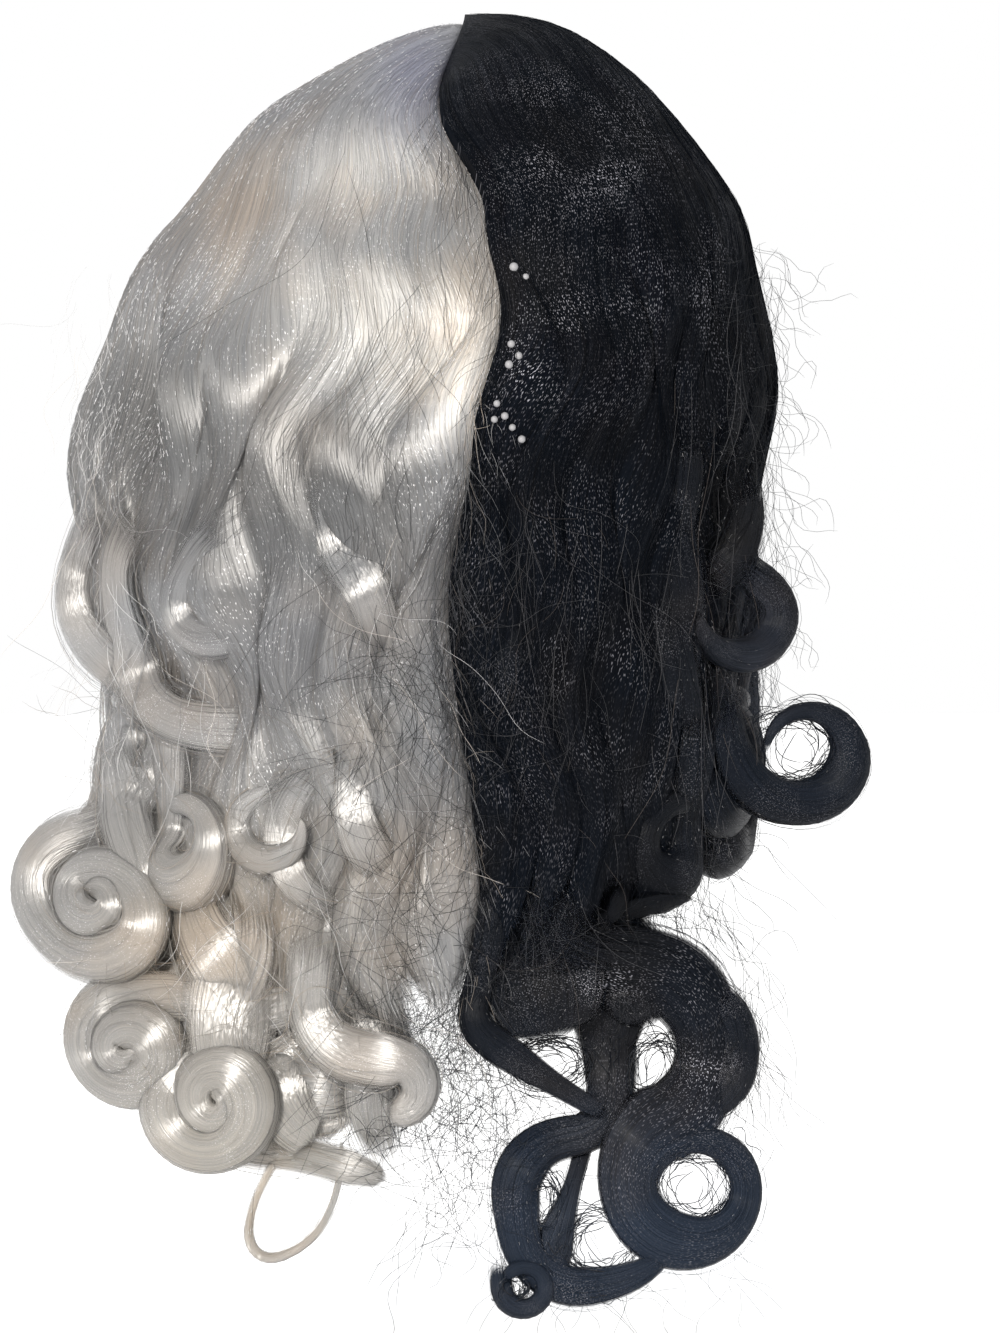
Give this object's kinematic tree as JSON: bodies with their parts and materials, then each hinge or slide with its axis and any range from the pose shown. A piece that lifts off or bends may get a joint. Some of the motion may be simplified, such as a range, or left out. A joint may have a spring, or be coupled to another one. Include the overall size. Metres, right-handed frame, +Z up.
{
  "type": "curly costume wig",
  "caption": "Two-tone shoulder-length wig, silver and black halves parted over the crown, combed smooth above and falling into large ring curls, on an open stretch net cap.",
  "frame": {"origin": "middle of the wearer's head at its widest girth, inside the cap, where the cap grips", "axes": "+Z up, -Y the back of the wig that the picture shows, +Y the open face side, -X the silver half, +X the black half"},
  "size_m": [0.2644, 0.2109, 0.3923],
  "materials": {
    "cap_net": "black stretch net, matt",
    "silver_fibre": "silver-grey synthetic fibre, satin with a fine sparkle",
    "black_fibre": "black synthetic fibre, satin with a fine sparkle"
  },
  "bodies": {
    "root": {"wig_cap": "cap_net", "silver_hair": "silver_fibre", "black_hair": "black_fibre"}
  },
  "joints": []
}
